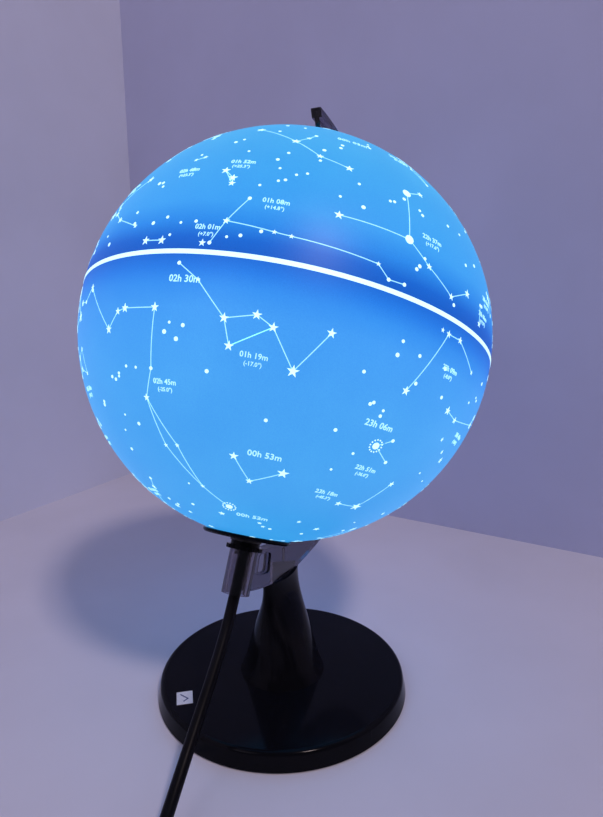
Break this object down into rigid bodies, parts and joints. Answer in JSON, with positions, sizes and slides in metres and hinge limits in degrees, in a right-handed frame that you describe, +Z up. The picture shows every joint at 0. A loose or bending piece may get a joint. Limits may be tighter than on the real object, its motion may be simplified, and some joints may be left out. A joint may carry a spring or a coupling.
{
  "type": "celestial globe",
  "caption": "Illuminated star globe that spins on a tilted axis in a clear arm, on a black stem and round base, with a mains lead, in-line switch and plug.",
  "frame": {"origin": "centre of the foot pad's underside, on the surface the globe stands on", "axes": "+Z up; the polar axis and the clear arm lie in the XZ plane, with the north pole leaning towards +X; the mains lead leaves on the -X side"},
  "size_m": [0.2995, 0.3087, 0.3051],
  "materials": {
    "gloss_black": "polished black moulded plastic",
    "satin_black": "fine-grained black moulded plastic",
    "clear_plastic": "polished clear plastic with a slight smoky tint",
    "printed_sky": "printed translucent plastic, lit from inside",
    "seam_white": "white translucent plastic, lit from inside",
    "black_cord": "smooth black PVC",
    "eva_foam": "matt closed-cell foam",
    "zinc_steel": "zinc-plated steel",
    "nickel_pins": "nickel-plated brass",
    "brass_sheet": "rolled brass",
    "white_plastic": "white heat-resistant plastic",
    "opal_plastic": "frosted opal plastic, lit",
    "cast_weight": "rough cast iron",
    "white_board": "white solder mask on aluminium board",
    "led_phosphor": "phosphor",
    "paper": "printed paper label"
  },
  "bodies": {
    "stand": {"base_cover": "gloss_black", "stem": "gloss_black", "ballast_plate": "cast_weight", "base_underplate": "satin_black", "foot_pad": "eva_foam", "base_screws": "zinc_steel", "stem_bolt": "zinc_steel", "stem_washer": "zinc_steel", "arm_screw": "zinc_steel", "inspection_sticker": "paper", "meridian_arm": "clear_plastic", "top_pin": "zinc_steel", "lamp_tube": "gloss_black", "thrust_washer": "satin_black", "lamp_socket": "white_plastic", "socket_sleeve": "brass_sheet", "socket_contact": "brass_sheet", "bulb_cap": "nickel_pins", "bulb_body": "white_plastic", "bulb_dome": "opal_plastic", "led_board": "white_board", "led_chips": "led_phosphor", "lamp_wires": "black_cord", "lead_from_globe": "black_cord", "lead_to_coil": "black_cord", "lead_to_plug": "black_cord", "cord_coil": "black_cord", "cord_tie": "satin_black", "switch_lower_half": "satin_black", "switch_upper_half": "satin_black", "switch_contacts": "brass_sheet", "switch_screw": "zinc_steel", "plug_body": "satin_black", "plug_strain_relief": "satin_black", "plug_pins": "nickel_pins", "plug_pin_sleeves": "satin_black"},
    "globe": {"north_hemisphere": "printed_sky", "south_hemisphere": "printed_sky", "equator_ring": "seam_white", "south_cap": "gloss_black", "north_bush": "gloss_black"},
    "rocker": {"switch_rocker": "gloss_black"}
  },
  "joints": [
    {"name": "globe_spin", "type": "hinge", "parent": "stand", "child": "globe", "pos_m": [0.009, 0, 0.1875], "axis": [0.3987, 0, 0.9171], "continuous": true},
    {"name": "switch_rocker_tilt", "type": "hinge", "parent": "stand", "child": "rocker", "pos_m": [-0.159, -0.084, 0.0112], "axis": [1, 0, 0], "range_deg": [0, 14]}
  ]
}
